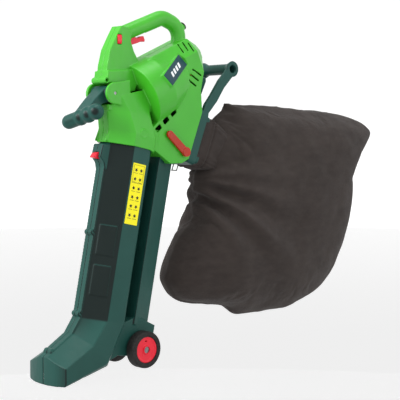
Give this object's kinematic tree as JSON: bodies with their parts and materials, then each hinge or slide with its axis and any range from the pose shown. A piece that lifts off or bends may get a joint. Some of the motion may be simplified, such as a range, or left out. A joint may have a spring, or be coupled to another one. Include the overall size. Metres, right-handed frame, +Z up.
{
  "type": "garden blower vacuum",
  "caption": "Wheeled electric garden blower and vacuum with a two-channel tube, loop handle, tilting front handle and a hanging leaf bag.",
  "frame": {"origin": "level with the nozzle's lip, under the middle of the whole object's bounding box", "axes": "+Z up; -Y is forward, the way the nozzle points; +X is the machine's left; the wheel axle lies along X"},
  "size_m": [0.22, 1.18, 0.8928],
  "materials": {
    "green_abs": "injection-moulded ABS, bright green, fine satin",
    "teal_abs": "injection-moulded ABS, dark teal, satin",
    "black_plastic": "black moulded plastic",
    "red_abs": "red moulded plastic",
    "lever_abs": "red-brown moulded plastic",
    "tyre_rubber": "black rubber",
    "steel": "turned and plated steel",
    "laminations": "varnished lamination stack",
    "brass": "turned brass and copper",
    "plate_print": "printed plate, dark teal",
    "label_print": "printed film, yellow",
    "bag_cloth": "coated woven polyester, charcoal",
    "rubber": "moulded rubber"
  },
  "bodies": {
    "machine": {"housing_left": "green_abs", "housing_right": "green_abs", "tube_left": "teal_abs", "tube_right": "teal_abs", "housing_screws": "steel", "tube_screws": "steel", "axle": "steel", "axle_clips": "steel", "fan_inlet_ring": "black_plastic", "motor_plate": "black_plastic", "motor_stator": "laminations", "rear_bracket": "black_plastic", "bearing_front": "steel", "bearing_rear": "steel", "brush_holders": "brass", "trigger_pin": "steel", "switch_box": "black_plastic", "cord_inlet": "rubber", "pivot_bolt": "steel", "name_plate": "plate_print", "label_plate": "label_print", "bag_frame": "teal_abs", "latch_pin": "steel", "bag_clip": "steel", "bag_collar": "bag_cloth", "bag": "bag_cloth"},
    "rotor": {"motor_shaft": "steel", "armature": "laminations", "commutator": "brass", "impeller_nut": "steel", "fan_impeller": "black_plastic", "cooling_fan": "black_plastic"},
    "trigger": {"trigger": "red_abs"},
    "rocker": {"rocker_switch": "red_abs"},
    "selector": {"selector_lever": "lever_abs", "selector_shaft": "steel", "diverter_flap": "black_plastic"},
    "front_handle": {"aux_handle": "teal_abs"},
    "button": {"release_button": "red_abs"},
    "latch": {"bag_latch": "teal_abs"},
    "wheel_left": {"wheel_hub_left": "red_abs", "tyre_left": "tyre_rubber"},
    "wheel_right": {"wheel_hub_right": "red_abs", "tyre_right": "tyre_rubber"}
  },
  "joints": [
    {"name": "rotor_spin", "type": "hinge", "parent": "machine", "child": "rotor", "pos_m": [0, -0.283, 0.684], "axis": [0, 0.9135, 0.4067], "continuous": true},
    {"name": "trigger_pull", "type": "hinge", "parent": "machine", "child": "trigger", "pos_m": [0, -0.348, 0.82], "axis": [1, 0, 0], "range_deg": [0, 8], "stiffness_Nm_per_rad": 0.3, "springref_deg": -8.59},
    {"name": "rocker_tilt", "type": "hinge", "parent": "machine", "child": "rocker", "pos_m": [0.016, -0.374, 0.812], "axis": [0, 1, 0], "range_deg": [0, 8]},
    {"name": "selector_turn", "type": "hinge", "parent": "machine", "child": "selector", "pos_m": [0, -0.201, 0.54], "axis": [-1, 0, 0], "range_deg": [0, 75]},
    {"name": "front_handle_turn", "type": "hinge", "parent": "machine", "child": "front_handle", "pos_m": [0, -0.405, 0.681], "axis": [-1, 0, 0], "range_deg": [0, 40]},
    {"name": "button_press", "type": "slide", "parent": "machine", "child": "button", "axis": [0, 0.9796, -0.2011], "range_m": [0, 0.0035], "stiffness_N_per_m": 300, "springref_m": -0.002},
    {"name": "latch_turn", "type": "hinge", "parent": "machine", "child": "latch", "pos_m": [0, -0.126, 0.662], "axis": [-1, 0, 0], "range_deg": [0, 12], "stiffness_Nm_per_rad": 0.5, "springref_deg": -6.88},
    {"name": "wheel_left_roll", "type": "hinge", "parent": "machine", "child": "wheel_left", "pos_m": [0.058, -0.334, 0.06], "axis": [1, 0, 0], "continuous": true},
    {"name": "wheel_right_roll", "type": "hinge", "parent": "machine", "child": "wheel_right", "pos_m": [-0.058, -0.334, 0.06], "axis": [1, 0, 0], "continuous": true}
  ]
}
